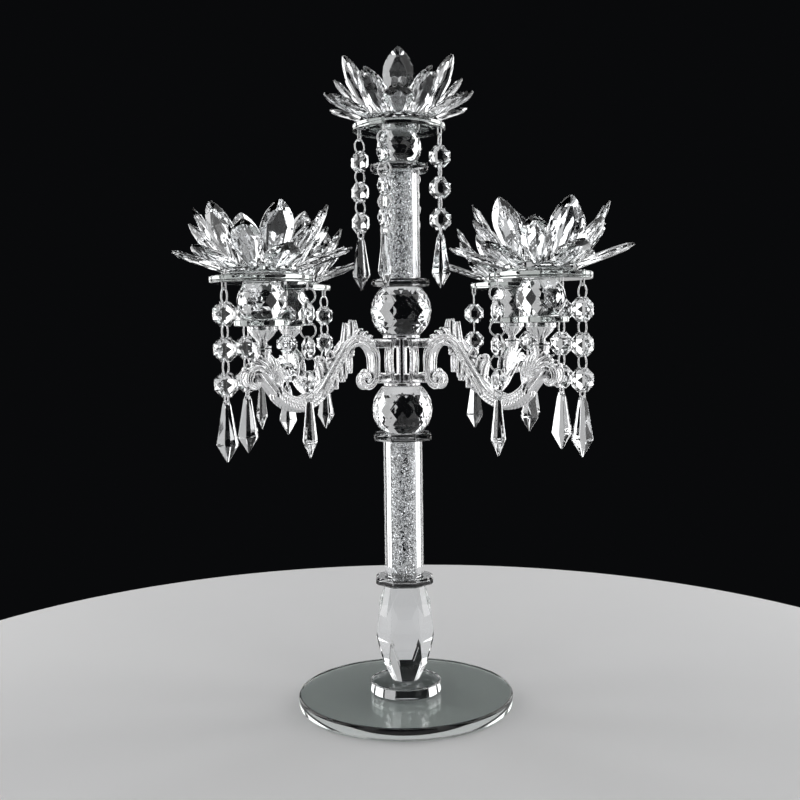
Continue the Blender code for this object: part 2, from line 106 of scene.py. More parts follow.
# Soft boxes on both sides of the object: degrees from straight behind it, watts
SIDE_BOXES = ((41.0, 4.2), (68.0, 5.4), (100.0, 3.4), (140.0, 2.0))
BOX_DISTANCE, BOX_MIDDLE, BOX_WIDTH, BOX_HEIGHT = 1.1, 0.35, 0.38, 1.8
BACK_BOX_AT, BACK_BOX_WIDTH, BACK_BOX_POWER = (0.38, 1.03, BOX_MIDDLE), 0.30, 0.8
TOP_BOX_HEIGHT, TOP_BOX_AIM, TOP_BOX_SIZE, TOP_BOX_POWER = 1.35, 0.25, 1.5, 9.0

# Camera: place, tilt up from straight down, roll, lens and sensor in millimetres
CAMERA_AT = (-0.0015, -0.721, 0.256)
CAMERA_TILT, CAMERA_ROLL = 86.0, -0.75
LENS, SENSOR = 48.69, 36.0


# ---------------------------------------------------------------- mesh helpers

def ring_points(radius, height, count, first=0.0):
    """Points on a level circle, the first of them at an azimuth."""
    points = []
    for step in range(count):
        angle = math.radians(first + 360.0 * step / count)
        points.append(Vector((radius * math.sin(angle), -radius * math.cos(angle), height)))
    return points


def mesh_from(points, faces):
    """A mesh whose faces all look outwards."""
    mesh = bpy.data.meshes.new("shape")
    mesh.from_pydata([tuple(point) for point in points], [], faces)
    shaped = bmesh.new()
    shaped.from_mesh(mesh)
    bmesh.ops.recalc_face_normals(shaped, faces=shaped.faces)
    shaped.to_mesh(mesh)
    shaped.free()
    return mesh


def hull(points, merge=0.6):
    """The convex cut stone around some points; facets that meet at less than merge degrees become one."""
    shaped = bmesh.new()
    for point in points:
        shaped.verts.new(point)
    made = bmesh.ops.convex_hull(shaped, input=shaped.verts)
    inside = [item for item in made["geom_interior"] if isinstance(item, bmesh.types.BMVert)]
    bmesh.ops.delete(shaped, geom=inside, context="VERTS")
    bmesh.ops.dissolve_limit(shaped, angle_limit=math.radians(merge), verts=shaped.verts,
                             edges=shaped.edges)
    bmesh.ops.recalc_face_normals(shaped, faces=shaped.faces)
    mesh = bpy.data.meshes.new("stone")
    shaped.to_mesh(mesh)
    shaped.free()
    return mesh


def turned(profile, sides, bored=False):
    """A solid of revolution from (radius, height) points, bottom to top."""
    points, faces = [], []
    for radius, height in profile:
        points.extend(ring_points(radius, height, sides))
    bands = len(profile) if bored else len(profile) - 1
    for band in range(bands):
        low, high = band * sides, (band + 1) % len(profile) * sides
        for step in range(sides):
            after = (step + 1) % sides
            faces.append((low + step, low + after, high + after, high + step))
    if not bored:
        faces.append(tuple(range(sides)))
        faces.append(tuple(range(len(points) - sides, len(points))))
    return mesh_from(points, faces)


def capped(profile, inset=0.4):
    """Adds a narrow flat ring inside both ends, which keeps the shading of the flat faces flat."""
    (first, low), (last, high) = profile[0], profile[-1]
    return [(first - inset, low)] + profile + [(last - inset, high)]


def rounded_disc(diameter, height, edge, sides):
    """A disc with quarter-round edges, as polished plate glass has."""
    flat = diameter / 2 - edge
    angles = [math.radians(22.5 * step) for step in range(5)]
    profile = [(flat + edge * math.sin(angle), edge - edge * math.cos(angle)) for angle in angles]
    profile += [(flat + edge * math.cos(angle), height - edge + edge * math.sin(angle))
                for angle in angles]
    return turned(capped(profile), sides)


def tube_along(path, radii, sides=10, closed=False, flatten=1.0):
    """A wire or finger swept along a path, with one radius for each point of it."""
    points, faces = [], []
    count = len(path)
    normal = None
    for index, centre in enumerate(path):
        before = path[index - 1] if closed or index else path[0]
        after = path[(index + 1) % count] if closed or index + 1 < count else path[-1]
        ahead = (after - before).normalized()
        if normal is None:
            normal = Vector((0.0, 1.0, 0.0)) if abs(ahead.y) < 0.9 else ahead.orthogonal().normalized()
        normal = (normal - ahead * normal.dot(ahead)).normalized()
        side = ahead.cross(normal)
        for step in range(sides):
            angle = math.tau * step / sides
            points.append(centre + normal * (math.cos(angle) * radii[index] * flatten)
                          + side * (math.sin(angle) * radii[index]))
    bands = count if closed else count - 1
    for index in range(bands):
        low, high = index * sides, (index + 1) % count * sides
        for step in range(sides):
            after = (step + 1) % sides
            faces.append((low + step, low + after, high + after, high + step))
    if not closed:
        faces.append(tuple(range(sides)))
        faces.append(tuple(range(len(points) - sides, len(points))))
    return mesh_from(points, faces)


def wire_ring(radius, wire, height, steps=36):
    """A round ring of wire in the Y-Z plane, at a height on the Z axis."""
    path = []
    for step in range(steps):
        angle = math.tau * step / steps
        path.append(Vector((0.0, radius * math.cos(angle), height + radius * math.sin(angle))))
    return tube_along(path, [wire / 2] * len(path), 12, closed=True)


def bore_along(start, end, diameter):
    """A straight cutter for a drilled hole."""
    return tube_along([Vector(start), Vector(end)], [diameter / 2] * 2, 12)


def ball_of(centre, size):
    """A rounded bead with its own half size along each axis."""
    shaped = bmesh.new()
    bmesh.ops.create_icosphere(shaped, subdivisions=2, radius=1.0)
    mesh = bpy.data.meshes.new("bead")
    shaped.to_mesh(mesh)
    shaped.free()
    mesh.transform(Matrix.Translation(centre) @ Matrix.Diagonal((*size, 1.0)))
    return mesh


def domed(centre, size, sideways):
    """A cast bead in the arm's plane, wider across it by a factor."""
    return ball_of(Vector(centre), (size, size * sideways, size))


def joined(meshes):
    """Several closed shapes in one mesh."""
    shaped = bmesh.new()
    for mesh in meshes:
        shaped.from_mesh(mesh)
    result = bpy.data.meshes.new("joined")
    shaped.to_mesh(result)
    shaped.free()
    return result


def moved(mesh, matrix):
    made = mesh.copy()
    made.transform(matrix)
    return made


def shaped_by(mesh, add_modifiers):
    """The mesh after the modifiers that a function adds to it."""
    holder = bpy.data.objects.new("holder", mesh)
    bpy.context.collection.objects.link(holder)
    add_modifiers(holder)
    ready = holder.evaluated_get(bpy.context.evaluated_depsgraph_get())
    result = bpy.data.meshes.new_from_object(ready)
    bpy.data.objects.remove(holder, do_unlink=True)
    return result


def bevelled(mesh, width):
    """Grinds a narrow facet along the edges between facets."""
    def add(holder):
        bevel = holder.modifiers.new("edges", "BEVEL")
        bevel.width = width
        bevel.segments = 1
        bevel.limit_method = "ANGLE"
        bevel.angle_limit = math.radians(4.0)
    return shaped_by(mesh, add)


def drilled(mesh, cutter_mesh):
    """The mesh with holes in the shape of another mesh."""
    cutter = bpy.data.objects.new("cutter", cutter_mesh)
    bpy.context.collection.objects.link(cutter)

    def add(holder):
        cut = holder.modifiers.new("holes", "BOOLEAN")
        cut.operation = "DIFFERENCE"
        cut.solver = "EXACT"
        cut.object = cutter
    result = shaped_by(mesh, add)
    bpy.data.objects.remove(cutter, do_unlink=True)
    return result


def finished(mesh, look, smooth=None):
    """Scales a shape to metres and gives it its material; smooth is the sharp-edge angle in degrees."""
    mesh.transform(Matrix.Scale(MM, 4))
    mesh.materials.clear()
    mesh.materials.append(look)
    if smooth is not None:
        mesh.shade_smooth()
        mesh.set_sharp_from_angle(angle=math.radians(smooth))
    return mesh


def turn_to(azimuth):
    """Turns a shape that faces -Y round to face an azimuth."""
    return Matrix.Rotation(math.radians(azimuth), 4, "Z")


def centre_of(node):
    """The middle of a CAD node's underside."""
    low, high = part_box(node)
    return Vector(((low.x + high.x) / 2, (low.y + high.y) / 2, low.z))


def place(name, mesh, body, at, turn=0.0, replaces=()):
    """Stands a piece in the scene, turned to an azimuth and riding on a body."""
    piece = bpy.data.objects.new(name, moved(mesh, turn_to(turn)) if turn else mesh)
    bpy.context.collection.objects.link(piece)
    piece.location = at
    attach(piece, body)
    if replaces:
        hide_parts(*replaces)
    return piece


def stand_in(node, kind, mesh, turn=0.0):
    """A piece that stands where its CAD node stands, in its place."""
    return place("%s_%s" % (node, kind), mesh, "root", centre_of(node), turn, [node])


# ---------------------------------------------------------------- materials
# Noise and cell scales are in features per metre.

def new_material(name):
    made = bpy.data.materials.new(name)
    made.use_nodes = True
    nodes, links = made.node_tree.nodes, made.node_tree.links
    return made, nodes, links, nodes["Principled BSDF"]


def noise_node(nodes, links, scale, detail, coordinates):
    texture = nodes.new("ShaderNodeTexNoise")
    texture.inputs["Scale"].default_value = scale
    texture.inputs["Detail"].default_value = detail
    links.new(coordinates.outputs["Object"], texture.inputs["Vector"])
    return texture


def spread(nodes, links, source, low, high, start=0.35, end=0.65):
    """Maps a noise to the span between two values."""
    mapped = nodes.new("ShaderNodeMapRange")
    mapped.inputs["From Min"].default_value = start
    mapped.inputs["From Max"].default_value = end
    mapped.inputs["To Min"].default_value = low
    mapped.inputs["To Max"].default_value = high
    links.new(source, mapped.inputs["Value"])
    return mapped.outputs["Result"]


def blend_colours(nodes, links, factor, first, second):
    mixed = nodes.new("ShaderNodeMix")
    mixed.data_type = "RGBA"
    mixed.inputs["A"].default_value = (*first, 1.0)
    mixed.inputs["B"].default_value = (*second, 1.0)
    links.new(factor, mixed.inputs["Factor"])
    return mixed.outputs["Result"]


def glass_material(name, first, second, ior, smear, wave):
    """Polished glass: a faint cloud in its colour, faint smears and a hardly visible waviness."""
    made, nodes, links, shader = new_material(name)
    coordinates = nodes.new("ShaderNodeTexCoord")
    cloud = noise_node(nodes, links, 60.0, 3.0, coordinates)
    links.new(blend_colours(nodes, links, cloud.outputs["Fac"], first, second),
              shader.inputs["Base Color"])
    smears = noise_node(nodes, links, 220.0, 4.0, coordinates)
    links.new(spread(nodes, links, smears.outputs["Fac"], 0.0, smear), shader.inputs["Roughness"])
    waves = noise_node(nodes, links, 90.0, 1.0, coordinates)
    bump = nodes.new("ShaderNodeBump")
    bump.inputs["Strength"].default_value = wave
    bump.inputs["Distance"].default_value = 0.0002
    links.new(waves.outputs["Fac"], bump.inputs["Height"])
    links.new(bump.outputs["Normal"], shader.inputs["Normal"])
    shader.inputs["IOR"].default_value = ior
    shader.inputs["Transmission Weight"].default_value = 1.0
    return made


def chip_material():
    """Broken crystal: partly clear, partly backed with foil, so that it sparkles."""
    made, nodes, links, shader = new_material("chips_look")
    coordinates = nodes.new("ShaderNodeTexCoord")
    cells = nodes.new("ShaderNodeTexVoronoi")
    cells.inputs["Scale"].default_value = 420.0
    links.new(coordinates.outputs["Object"], cells.inputs["Vector"])
    grey = nodes.new("ShaderNodeRGBToBW")
    links.new(cells.outputs["Color"], grey.inputs["Color"])
    links.new(blend_colours(nodes, links, grey.outputs["Val"], (0.96, 0.97, 0.98), (1.0, 1.0, 1.0)),
              shader.inputs["Base Color"])
    links.new(spread(nodes, links, grey.outputs["Val"], 0.04, 0.16), shader.inputs["Roughness"])
    links.new(spread(nodes, links, grey.outputs["Val"], 0.0, 1.0, 0.15, 0.25), shader.inputs["Metallic"])
    shader.inputs["IOR"].default_value = 1.54
    shader.inputs["Transmission Weight"].default_value = 0.4
    return made


def silver_material():
    """Bright plated casting: painted shade darkens its colour in its recesses; fine casting grain and soft
    wear.
    """
    made, nodes, links, shader = new_material("silver_look")
    coordinates = nodes.new("ShaderNodeTexCoord")
    recess_shade = nodes.new("ShaderNodeAmbientOcclusion")
    recess_shade.samples = 8
    recess_shade.only_local = True
    recess_shade.inputs["Distance"].default_value = 0.004
    # Painted shade: the occlusion turns the base colour from bright silver to near black in the recesses
    depth = spread(nodes, links, recess_shade.outputs["AO"], 1.0, 0.0, 0.35, 0.85)
    links.new(blend_colours(nodes, links, depth, (0.94, 0.94, 0.95), (0.03, 0.03, 0.035)),
              shader.inputs["Base Color"])
    grain = noise_node(nodes, links, 500.0, 5.0, coordinates)
    links.new(spread(nodes, links, grain.outputs["Fac"], 0.10, 0.26), shader.inputs["Roughness"])
    bump = nodes.new("ShaderNodeBump")
    bump.inputs["Strength"].default_value = 0.25
    bump.inputs["Distance"].default_value = 0.0002
    links.new(grain.outputs["Fac"], bump.inputs["Height"])
    links.new(bump.outputs["Normal"], shader.inputs["Normal"])
    shader.inputs["Metallic"].default_value = 1.0
    return made


def floor_material():
    """A plain pale painted board, faintly cloudy."""
    made, nodes, links, shader = new_material("floor_look")
    coordinates = nodes.new("ShaderNodeTexCoord")
    cloud = noise_node(nodes, links, 3.0, 3.0, coordinates)
    links.new(blend_colours(nodes, links, cloud.outputs["Fac"], (0.66, 0.66, 0.67), (0.71, 0.71, 0.71)),
              shader.inputs["Base Color"])
    shader.inputs["Roughness"].default_value = 0.7
    shader.inputs["Specular IOR Level"].default_value = 0.15
    return made


CRYSTAL = glass_material("crystal_look", (0.96, 0.98, 1.0), (1.0, 1.0, 1.0), 1.56, 0.02, 0.02)
FLOAT_GLASS = glass_material("float_glass_look", (0.90, 0.96, 0.94), (0.94, 0.98, 0.96), 1.52,
                             0.02, 0.01)
CHIPS = chip_material()
SILVER = silver_material()


# ---------------------------------------------------------------- cut stones

def faceted_ball(diameter, count, rows, height):
    """A ball of small facets, cut flat below and above to a height."""
    radius = diameter / 2
    points = []
    for row in range(-rows, rows + 1):
        level = height / 2 * row / rows
        reach = math.sqrt(radius * radius - level * level)
        points.extend(ring_points(reach, level + height / 2, count, 180.0 / count * (row % 2)))
    return bevelled(hull(points), 0.12)


def baluster():
    """The long six-sided stone; each level is its height, radius, corners and first azimuth."""
    levels = (
        (0.0, 9.4, 12, 15.0), (3.5, 9.4, 12, 15.0), (7.5, 12.0, 6, 30.0), (12.5, 15.6, 12, 15.0),
        (28.8, 19.7, 6, 30.0), (44.7, 17.9, 12, 15.0), (53.8, 17.0, 6, 30.0), (65.4, 13.5, 12, 15.0),
    )
    points = []
    for height, radius, corners, first in levels:
        points.extend(ring_points(radius, height, corners, first))
    return bevelled(hull(points), 0.2)


def collar():
    """An eight-sided plate with cut corners above and below."""
    corner = COLLAR_WIDTH / 2 / math.cos(math.pi / 8)
    points = []
    for radius, height in ((corner - COLLAR_CUT_IN, 0.0), (corner, COLLAR_CUT_UP),
                           (corner, COLLAR_THICKNESS - COLLAR_CUT_UP),
                           (corner - COLLAR_CUT_IN, COLLAR_THICKNESS)):
        points.extend(ring_points(radius, height, 8, 22.5))
    return bevelled(hull(points), 0.15)


def petal(length, width):
    """A marquise-cut leaf along +X: thin girdle, broad border facets, flat back and low ridged front.

    Each row of a table is a share of the length, then a share of the half width or a height.
    """
    girdle, table_height = 0.55, 2.1
    outline = ((0.0, 0.29), (0.10, 0.46), (0.20, 0.62), (0.32, 0.79), (0.45, 0.94), (0.58, 1.0),
               (0.70, 0.94), (0.80, 0.78), (0.88, 0.57), (0.95, 0.32), (1.0, 0.08))
    table = ((0.03, 0.12), (0.31, 0.44), (0.62, 0.54), (0.86, 0.10))
    ridge = ((0.40, 2.55), (0.66, 2.5))
    points = []
    for face in (-1, 1):
        for side in (-1, 1):
            for share, reach in outline:
                points.append((share * length, side * reach * width / 2, face * girdle))
            for share, reach in table:
                points.append((share * length, side * reach * width / 2, face * table_height))
    for share, rise in ridge:
        points.append((share * length, 0.0, rise))
    return hull(points, 0.2)


def petals():
    """All petals of one lotus, in three rows."""
    parts = []
    for first, width, root, tip in PETAL_ROWS:
        tilt = math.atan2(tip[1] - root[1], tip[0] - root[0])
        length = math.hypot(tip[0] - root[0], tip[1] - root[1])
        for step in range(PETALS_PER_ROW):
            azimuth = math.radians(first + 360.0 / PETALS_PER_ROW * step - 90.0)
            stand = (Matrix.Rotation(azimuth, 4, "Z")
                     @ Matrix.Translation((root[0], 0.0, root[1]))
                     @ Matrix.Rotation(-tilt, 4, "Y"))
            parts.append(moved(petal(length, width), stand))
    return joined(parts)


def lotus_foot():
    """The clear round foot, with the low raised seat of the candle in its middle."""
    rim, seat, top, seat_top = 22.0, 18.5, 5.0, 5.8
    return turned([(rim - 1.0, 0.0), (rim - 0.3, 0.3), (rim, 1.0),
                   (rim, top - 1.0), (rim - 0.3, top - 0.3), (rim - 1.0, top),
                   (seat + 0.3, top), (seat, top + 0.2), (seat, seat_top - 0.2),
                   (seat - 0.3, seat_top)], 96)


def octagon_bead():
    """An octagon with a small square table on both sides and a hole at each end."""
    corner = BEAD_DIAMETER / 2 / math.cos(math.pi / 8)
    girdle = 0.8
    # Reach, height and first angle of the table's corners and of the points between them
    crown = ((3.0, 3.7, 45.0), (4.9, 2.75, 0.0))
    points = []
    for step in range(8):
        angle = math.radians(45.0 * step + 22.5)
        for face in (-girdle, girdle):
            points.append((corner * math.sin(angle), face, corner * math.cos(angle)))
    for step in range(4):
        for face in (-1, 1):
            for reach, height, first in crown:
                angle = math.radians(90.0 * step + first)
                points.append((reach * math.sin(angle), face * height, reach * math.cos(angle)))
    holes = [bore_along((0.0, -6.0, level), (0.0, 6.0, level), BEAD_HOLE)
             for level in (-BEAD_HOLE_RADIUS, BEAD_HOLE_RADIUS)]
    return drilled(hull(points), joined(holes))


def icicle():
    """The drop, hanging from its hole at the origin."""
    top = DROP_HOLE_DEPTH
    tip = top - DROP_LENGTH
    points = [(0.0, 0.0, tip)]
    for step in range(6):
        angle = math.radians(60.0 * step + 30.0)
        # Half width, half depth and height of the widest ring and of the neck
        for wide, deep, height in ((6.0, 4.5, tip + 11.0), (2.5, 2.0, top - 2.6)):
            points.append((wide * math.cos(angle) / math.cos(math.pi / 6), deep * math.sin(angle), height))
    for wide in (-1.5, 1.5):
        for deep in (-1.1, 1.1):
            points.append((wide, deep, top))
    hole = bore_along((0.0, -6.0, 0.0), (0.0, 6.0, 0.0), DROP_HOLE)
    return drilled(bevelled(hull(points), 0.28), hole)


def string_levels():
    """Ring centres, bead centres, the small ring's centre and the drop's hole, down from the hinge."""
    rings, beads, level = [], [], 0.0
    for _ in range(BEADS_PER_STRING):
        rings.append(level - RING_RADIUS)
        beads.append(level - 2 * RING_RADIUS - BEAD_HOLE_RADIUS)
        level = beads[-1] - BEAD_HOLE_RADIUS
    return rings, beads, level - SMALL_RING_RADIUS, level - 2 * SMALL_RING_RADIUS


def string_stones():
    """The beads and the drop of one string."""
    _, beads, _, drop = string_levels()
    bead = octagon_bead()
    parts = [moved(bead, Matrix.Translation((0.0, 0.0, level))) for level in beads]
    parts.append(moved(icicle(), Matrix.Translation((0.0, 0.0, drop))))
    return joined(parts)


def string_rings():
    """The wire rings of one string."""
    rings, _, small, _ = string_levels()
    parts = [wire_ring(RING_RADIUS, RING_WIRE, level) for level in rings]
    parts.append(wire_ring(SMALL_RING_RADIUS, RING_WIRE, small))
    return joined(parts)


def hairpin(plate_top):
    """The bent wire that holds a string: two legs through the plate, a loop round the hinge line."""
    bend = -(RING_WIRE + PIN_WIRE) / 2 + PIN_HALF_WIDTH
    path = [Vector((-PIN_HALF_WIDTH, 0.0, height)) for height in (plate_top + PIN_HEAD, plate_top / 2)]
    for step in range(9):
        angle = math.radians(180.0 + 22.5 * step)
        path.append(Vector((PIN_HALF_WIDTH * math.cos(angle), 0.0,
                            bend + PIN_HALF_WIDTH * math.sin(angle))))
    path += [Vector((PIN_HALF_WIDTH, 0.0, height)) for height in (plate_top / 2, plate_top + PIN_HEAD)]
    return tube_along(path, [PIN_WIRE / 2] * len(path), 10)


def shards(length, radius, count, seed):
    """Broken crystal packed in a tube, without the middle, which doesn't show."""
    pick = random.Random(seed)
    parts = []
    for _ in range(count):
        size = pick.uniform(*SHARD_SIZES)
        reach = math.sqrt(pick.uniform(0.5, 1.0)) * (radius - size)
        angle = pick.uniform(0.0, math.tau)
        height = pick.uniform(size, length - size)
        centre = Vector((reach * math.cos(angle), reach * math.sin(angle), height))
        points = []
        for _ in range(8):
            way = Vector((pick.uniform(-1, 1), pick.uniform(-1, 1), pick.uniform(-1, 1))).normalized()
            points.append(centre + way * size * pick.uniform(0.7, 1.0))
        parts.append(hull(points))
    return joined(parts)


# ---------------------------------------------------------------- cast arms

def arc(centre, radius, start, end, steps, end_radius=None):
    """Points of an arc or spiral in the arm's plane, from one angle to another in degrees."""
    end_radius = radius if end_radius is None else end_radius
    points = []
    for step in range(steps + 1):
        share = step / steps
        angle = math.radians(start + (end - start) * share)
        reach = radius + (end_radius - radius) * share
        points.append(Vector((centre[0] + reach * math.cos(angle), 0.0,
                              centre[1] + reach * math.sin(angle))))
    return points


def along(table, share):
    """Width and thickness at a share of the way, from (share, width, thickness) rows."""
    for (start, width, thick), (end, next_width, next_thick) in zip(table, table[1:]):
        if share <= end:
            mix = (share - start) / (end - start)
            return width + (next_width - width) * mix, thick + (next_thick - thick) * mix
    return table[-1][1:]


def travelled(path):
    """The share of the path's length at each of its points."""
    lengths = [0.0]
    for before, after in zip(path, path[1:]):
        lengths.append(lengths[-1] + (after - before).length)
    return [length / lengths[-1] for length in lengths]


def resampled(path, count):
    """The path again, with evenly spaced and slightly smoothed points."""
    shares = travelled(path)
    points, index = [], 0
    for step in range(count):
        share = step / (count - 1)
        while index < len(path) - 2 and shares[index + 1] < share:
            index += 1
        span = max(shares[index + 1] - shares[index], 1e-6)
        points.append(path[index].lerp(path[index + 1], (share - shares[index]) / span))
    for _ in range(3):
        middle = [(points[i - 1] + points[i] * 2 + points[i + 1]) / 4 for i in range(1, count - 1)]
        points = [points[0]] + middle + [points[-1]]
    return points


def rise_at(path, index):
    """The direction across the path, in the arm's plane."""
    ahead = path[min(index + 1, len(path) - 1)] - path[max(index - 1, 0)]
    return Vector((0.0, 1.0, 0.0)).cross(ahead.normalized())


def ribbed_strap(path, table, section=28):
    """The strap: a rounded oblong section, with three ribs along each of its sides."""
    points, faces = [], []
    shares = travelled(path)
    for index, centre in enumerate(path):
        up = rise_at(path, index)
        width, thick = along(table, shares[index])
        for step in range(section):
            angle = math.tau * step / section
            across, rise = math.cos(angle), math.sin(angle)
            side = math.copysign(abs(across) ** 0.45, across)
            high = math.copysign(abs(rise) ** 0.8, rise)
            rib = 0.82 + 0.18 * math.cos(high * math.tau * 1.5)
            points.append(centre + Vector((0.0, side * rib * width / 2, 0.0)) + up * (high * thick / 2))
    for index in range(len(path) - 1):
        for step in range(section):
            after = (step + 1) % section
            faces.append((index * section + step, index * section + after,
                          (index + 1) * section + after, (index + 1) * section + step))
    faces.append(tuple(range(section)))
    faces.append(tuple(range(len(points) - section, len(points))))
    return mesh_from(points, faces)


def rims(path, table, wire_radius=0.62):
    """Raised wires along the four edges of the strap."""
    shares = travelled(path)
    parts = []
    for side in (-1, 1):
        for edge in (-1, 1):
            line = []
            for index, centre in enumerate(path):
                width, thick = along(table, shares[index])
                line.append(centre + Vector((0.0, side * (width / 2 - 0.7), 0.0))
                            + rise_at(path, index) * (edge * (thick / 2 - 0.1)))
            parts.append(tube_along(line, [wire_radius] * len(line), 8))
    return parts


def finger(root, control, tip, lateral, thick, tip_thick=0.35):
    """One rib of a cast leaf: a tapering bent finger in a plane beside the arm's own."""
    path, radii = [], []
    steps = 14
    for step in range(steps + 1):
        share = step / steps
        first = Vector((root[0], lateral, root[1])) * (1 - share) ** 2
        second = Vector((control[0], lateral, control[1])) * (2 * share * (1 - share))
        third = Vector((tip[0], lateral * 0.85, tip[1])) * share ** 2
        path.append(first + second + third)
        radii.append(tip_thick + (thick - tip_thick) * math.sin(math.pi * (0.25 + 0.75 * share)) ** 0.8)
    return tube_along(path, radii, 10)


def both_sides(parts, root, control, tip, lateral, thick, tip_thick=0.35):
    """The same rib to the left and to the right of the arm's plane."""
    for side in (-1, 1):
        parts.append(finger(root, control, tip, side * lateral, thick, tip_thick))


def leaf_body(outline, thickness, edge):
    """The flesh of a leaf: the first two points of its outline are its thick root."""
    points = []
    for number, (reach, height) in enumerate(outline):
        half = (thickness if number < 2 else edge) / 2
        points.append((reach, -half, height))
        points.append((reach, half, height))
    return hull(points)


# An arm's places are a distance from the column's axis and a height above the table.
# The strap: share of the way, width, thickness
ARM_SIZES = ((0.0, 5.0, 1.8), (0.11, 6.2, 3.2), (0.21, 7.2, 4.4), (0.40, 7.8, 5.8), (0.60, 9.2, 8.0),
             (0.78, 8.6, 7.0), (0.87, 8.0, 5.2), (1.0, 6.4, 2.6))
VALLEY = (89.5, 230.9)
FAN_MIDDLE = (116.5, 228.2)

# The bowed strip beside the hub tube, and the two tabs that reach into it: reach, underside, top
BOW_SIZES = ((0.0, 6.6, 1.8), (1.0, 6.6, 1.8))
BOW_MIDDLE, BOW_RADIUS, BOW_HALF_ANGLE = (-29.8, 232.1), 41.8, 19.5
TABS = ((28.0, 217.9, 223.5), (33.0, 240.7, 246.3))
TAB_START, TAB_HALF_WIDTH = 3.9, 2.3


def arm_path():
    """The line of the strap, from the volute near the hub to the scroll at the arm's end."""
    volute = arc((33.5, 220.9), 1.8, 640.0, 272.0, 40, end_radius=4.9)
    lower_bend = arc((33.2, 222.9), 6.9, 266.0, 190.0, 20)
    big_scroll = arc((41.2, 231.9), 14.8, 184.0, 30.0, 40)
    valley = arc(VALLEY, 22.4, 222.0, 324.0, 40)
    end_scroll = arc((123.3, 224.3), 6.8, 122.0, -170.0, 40, end_radius=2.6)
    return resampled(volute + lower_bend + big_scroll + valley + end_scroll, 260)


def lobe(parts, root, control, tip, lateral, thick):
    """A rounded leaf lobe on both sides of the arm."""
    both_sides(parts, root, control, tip, lateral, thick, thick * 0.55)


def scroll_end():
    """The bead that ends the big scroll, and the little leaf that curls down inside it."""
    parts = [ball_of(Vector((33.7, 0.0, 221.2)), (1.9, 3.6, 1.9)),
             finger((37.0, 244.0), (52.5, 243.0), (50.8, 236.0), 0.0, 1.8, 1.0)]
    for at, size in (((50.9, 0.0, 234.6), 1.8), ((48.6, 0.0, 235.4), 1.5), ((47.9, 0.0, 237.5), 1.2),
                     ((51.8, 0.0, 237.2), 1.4)):
        parts.append(domed(at, size, 1.3))
    return parts


def horn_leaf():
    """The leaf that lies along the top of the big scroll and curls up into a forked horn."""
    parts = [leaf_body([(31.0, 243.0), (47.0, 243.6), (27.0, 243.6), (31.0, 247.4), (36.5, 249.8),
                        (44.0, 252.0)], 5.6, 1.8),
             leaf_body([(42.0, 245.4), (53.6, 241.0), (45.4, 253.0), (46.6, 258.0), (49.8, 256.6)],
                       5.6, 1.8)]
    for root, control, tip in (((34.0, 243.0), (29.5, 246.0), (26.2, 244.0)),
                               ((38.0, 245.0), (33.5, 249.2), (29.8, 247.6)),
                               ((42.0, 245.6), (38.8, 251.4), (34.4, 250.6)),
                               ((46.0, 245.4), (43.6, 253.0), (39.4, 252.8))):
        lobe(parts, root, control, tip, 1.7, 1.6)
    for root, control, tip in (((48.0, 245.0), (44.6, 251.0), (46.0, 259.4)),
                               ((52.6, 242.0), (50.0, 249.0), (50.8, 257.6))):
        both_sides(parts, root, control, tip, 1.2, 1.7, 0.4)
    return parts


def curl(middle, radius, start, end, end_radius):
    """A small cast spiral that thins towards its middle."""
    steps = 20
    radii = [1.3 - 0.03 * step for step in range(steps + 1)]
    return tube_along(arc(middle, radius, start, end, steps, end_radius), radii, 10, flatten=1.8)


def hanging_leaves():
    """The rounded lobes that hang under the falling strap, and the curls that stand on it."""
    parts = [leaf_body([(53.0, 239.0), (59.0, 232.6), (51.8, 223.4), (56.0, 224.2)], 5.0, 2.0),
             leaf_body([(59.0, 233.0), (66.5, 224.0), (59.2, 216.8), (63.4, 218.4)], 5.0, 2.0)]
    for root, control, tip in (((53.0, 239.0), (53.0, 228.5), (51.9, 222.0)),
                               ((57.0, 235.5), (57.0, 228.5), (55.4, 223.4)),
                               ((60.0, 232.0), (61.0, 221.5), (59.3, 215.8)),
                               ((64.6, 227.0), (65.8, 220.5), (63.2, 217.0))):
        lobe(parts, root, control, tip, 1.5, 2.1)
    parts.append(leaf_body([(66.5, 226.0), (72.0, 219.0), (70.6, 235.4), (73.6, 236.4), (75.6, 233.0)],
                           4.6, 2.0))
    lobe(parts, (67.6, 224.5), (67.5, 233.0), (71.0, 236.4), 1.5, 1.7)
    lobe(parts, (71.5, 220.0), (72.0, 228.0), (74.6, 231.5), 1.5, 1.7)
    parts.append(curl((73.2, 234.4), 2.6, 200.0, -130.0, 0.9))
    parts.append(curl((64.8, 237.6), 2.7, 250.0, -90.0, 0.8))
    lobe(parts, (60.5, 233.5), (62.0, 239.4), (65.8, 240.6), 1.3, 1.4)
    return parts


def valley_scales():
    """Rows of small overlapping leaves along the sides and the underside of the valley."""
    parts = []
    # Distance from the valley's middle, distance from the arm's plane, half sizes
    rows = ((22.0, 4.1, (2.4, 1.2, 1.0)), (24.6, 3.8, (2.6, 1.3, 1.1)), (26.2, 1.5, (2.6, 1.5, 1.0)))
    for step in range(16):
        angle = math.radians(234.0 + 5.6 * step)
        lean = angle + math.radians(122.0)
        for reach, lateral, size in rows:
            for side in (-1, 1):
                stand = (Matrix.Translation((VALLEY[0] + reach * math.cos(angle), side * lateral,
                                             VALLEY[1] + reach * math.sin(angle)))
                         @ Matrix.Rotation(-lean, 4, "Y"))
                parts.append(moved(ball_of(Vector((0.0, 0.0, 0.0)), size), stand))
    return parts


